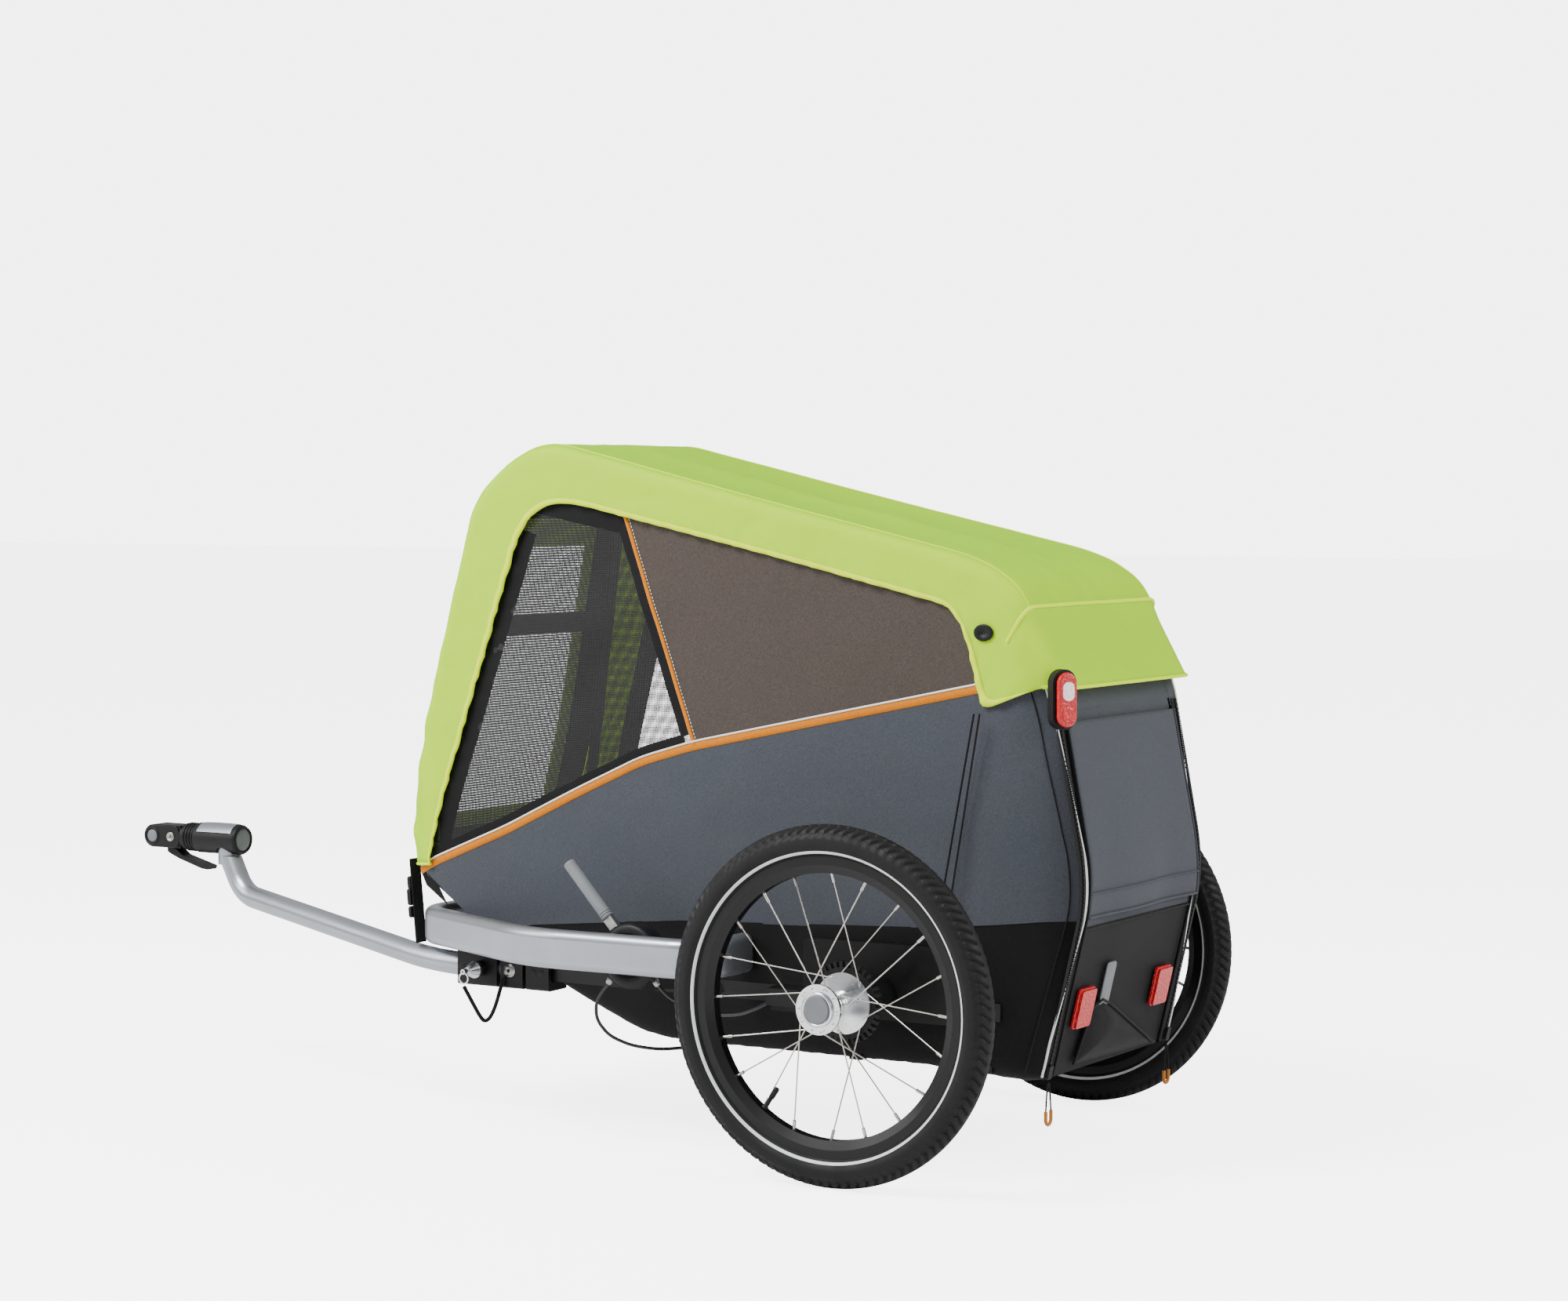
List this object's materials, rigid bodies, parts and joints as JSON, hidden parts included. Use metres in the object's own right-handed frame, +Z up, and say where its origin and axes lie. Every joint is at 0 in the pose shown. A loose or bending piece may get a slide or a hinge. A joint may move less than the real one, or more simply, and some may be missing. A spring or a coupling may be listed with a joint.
{
  "type": "bicycle trailer",
  "caption": "Two-wheeled bicycle trailer with a fabric cabin on a tube frame, a lime rain cover, a rear door and a swivelling axle hitch.",
  "frame": {"origin": "on the ground below the middle of the trailer's bounding box", "axes": "+X forward to the bicycle, +Y to the trailer's left, +Z up"},
  "size_m": [1.796, 0.87, 1.0394],
  "materials": {
    "black_fabric": "coated black polyester",
    "black_frame": "black powder coat",
    "black_mesh": "open woven mesh",
    "black_plastic": "glass-filled nylon",
    "black_rim": "black anodised double-wall rim",
    "black_webbing": "woven webbing and cord",
    "cable_sheath": "black cable sheath",
    "foam": "closed-cell foam sleeve",
    "grey_plastic": "grey moulded",
    "grip_grey": "soft grey grip",
    "lime_fabric": "coated lime rain cover",
    "ochre_plastic": "ochre pull grip",
    "polished_alloy": "turned and polished",
    "red_lens": "clear red moulded lens",
    "red_reflector": "prismatic red",
    "satin_alloy": "satin silver anodised tube",
    "slate_fabric": "melange woven polyester",
    "spoke_steel": "drawn stainless wire",
    "tyre_rubber": "moulded rubber with a blocky tread",
    "zinc_steel": "zinc plated"
  },
  "bodies": {
    "root": {"bumper_frame": "satin_alloy", "crossbar_foam": "foam", "crossbars": "black_frame", "drawbar": "satin_alloy", "drawbar_bracket": "black_plastic", "far_brake_cable": "cable_sheath", "floor_frame": "black_frame", "front_panel": "black_mesh", "front_straps": "black_webbing", "left_axle": "zinc_steel", "left_brake_unit": "black_plastic", "left_elastic_cord": "black_webbing", "left_hoop": "black_frame", "left_wall": "slate_fabric", "lever_housing": "black_plastic", "near_brake_cable": "cable_sheath", "pin_lanyard": "black_webbing", "rain_cover": "lime_fabric", "right_axle": "zinc_steel", "right_brake_unit": "black_plastic", "right_elastic_cord": "black_webbing", "right_hoop": "black_frame", "right_wall": "slate_fabric", "roof_panel": "black_mesh", "strap_buckles": "black_plastic", "tail_light_housing": "black_plastic", "tail_light_lens": "red_lens", "tub": "black_fabric"},
    "left_wheel": {"left_tyre": "tyre_rubber", "left_rim": "black_rim", "left_spokes": "spoke_steel", "left_hub": "polished_alloy", "left_brake_ring": "black_plastic"},
    "left_button": {"left_hub_button": "grey_plastic"},
    "left_pin": {"left_brake_pin": "zinc_steel"},
    "left_slider": {"left_zip_slider": "black_plastic", "left_pull_cord": "black_webbing", "left_pull_grip": "ochre_plastic"},
    "right_wheel": {"right_tyre": "tyre_rubber", "right_rim": "black_rim", "right_spokes": "spoke_steel", "right_hub": "polished_alloy", "right_brake_ring": "black_plastic"},
    "right_button": {"right_hub_button": "grey_plastic"},
    "right_pin": {"right_brake_pin": "zinc_steel"},
    "right_slider": {"right_zip_slider": "black_plastic", "right_pull_cord": "black_webbing", "right_pull_grip": "ochre_plastic"},
    "lever": {"brake_lever": "zinc_steel", "lever_grip": "grip_grey"},
    "lock_pin": {"lock_pin": "polished_alloy"},
    "yoke": {"hitch_yoke": "black_plastic"},
    "coupler": {"hitch_knuckle": "black_plastic", "coupler_body": "black_plastic"},
    "coupler_button": {"coupler_button": "grey_plastic"},
    "release_lever": {"release_lever": "black_plastic"},
    "door": {"rear_door": "slate_fabric", "reflectors": "red_reflector", "pouch": "black_fabric"},
    "flap": {"door_flap": "slate_fabric"}
  },
  "joints": [
    {"name": "left_wheel_spin", "type": "hinge", "parent": "root", "child": "left_wheel", "pos_m": [-0.607, 0.395, 0.252], "axis": [0, 1, 0], "continuous": true},
    {"name": "left_hub_button_press", "type": "slide", "parent": "left_wheel", "child": "left_button", "axis": [0, -1, 0], "range_m": [0, 0.004], "stiffness_N_per_m": 600},
    {"name": "left_zip_slide", "type": "slide", "parent": "root", "child": "left_slider", "axis": [-0.2284, 0, 0.9736], "range_m": [0, 0.19]},
    {"name": "right_wheel_spin", "type": "hinge", "parent": "root", "child": "right_wheel", "pos_m": [-0.607, -0.395, 0.252], "axis": [0, 1, 0], "continuous": true},
    {"name": "right_hub_button_press", "type": "slide", "parent": "right_wheel", "child": "right_button", "axis": [0, 1, 0], "range_m": [0, 0.004], "stiffness_N_per_m": 600},
    {"name": "right_zip_slide", "type": "slide", "parent": "root", "child": "right_slider", "axis": [-0.2284, 0, 0.9736], "range_m": [0, 0.19]},
    {"name": "brake_lever_pull", "type": "hinge", "parent": "root", "child": "lever", "pos_m": [-0.233, 0.317, 0.287], "axis": [0, -1, 0], "range_deg": [0, 55]},
    {"name": "left_brake_pin_slide", "type": "slide", "parent": "root", "child": "left_pin", "axis": [-1, 0, 0], "range_m": [0, 0.008]},
    {"name": "right_brake_pin_slide", "type": "slide", "parent": "root", "child": "right_pin", "axis": [-1, 0, 0], "range_m": [0, 0.008]},
    {"name": "lock_pin_pull", "type": "slide", "parent": "root", "child": "lock_pin", "axis": [0, 1, 0], "range_m": [0, 0.012], "stiffness_N_per_m": 400},
    {"name": "hitch_yaw", "type": "hinge", "parent": "root", "child": "yoke", "pos_m": [0.731, 0.081, 0.384], "axis": [0, 0, 1], "range_deg": [-60, 60]},
    {"name": "hitch_roll", "type": "hinge", "parent": "yoke", "child": "coupler", "pos_m": [0.789, 0.08, 0.384], "axis": [1, 0, 0], "range_deg": [-35, 35]},
    {"name": "coupler_button_press", "type": "slide", "parent": "coupler", "child": "coupler_button", "axis": [0, -1, 0], "range_m": [0, 0.003], "stiffness_N_per_m": 600},
    {"name": "release_lever_squeeze", "type": "hinge", "parent": "coupler", "child": "release_lever", "pos_m": [0.844, 0.08, 0.36], "axis": [0, 1, 0], "range_deg": [0, 12], "stiffness_Nm_per_rad": 0.4, "springref_deg": -20.05},
    {"name": "rear_door_swing", "type": "hinge", "parent": "root", "child": "door", "pos_m": [-0.8541, 0, 0.6547], "axis": [0, 1, 0], "range_deg": [0, 75]},
    {"name": "door_flap_swing", "type": "hinge", "parent": "door", "child": "flap", "pos_m": [-0.8596, 0, 0.64], "axis": [0, 1, 0], "range_deg": [0, 60]}
  ],
  "couplings": [
    {"joint": "left_brake_pin_slide", "follows": "brake_lever_pull", "m_per_rad": 0.0083},
    {"joint": "right_brake_pin_slide", "follows": "brake_lever_pull", "m_per_rad": 0.0083}
  ]
}
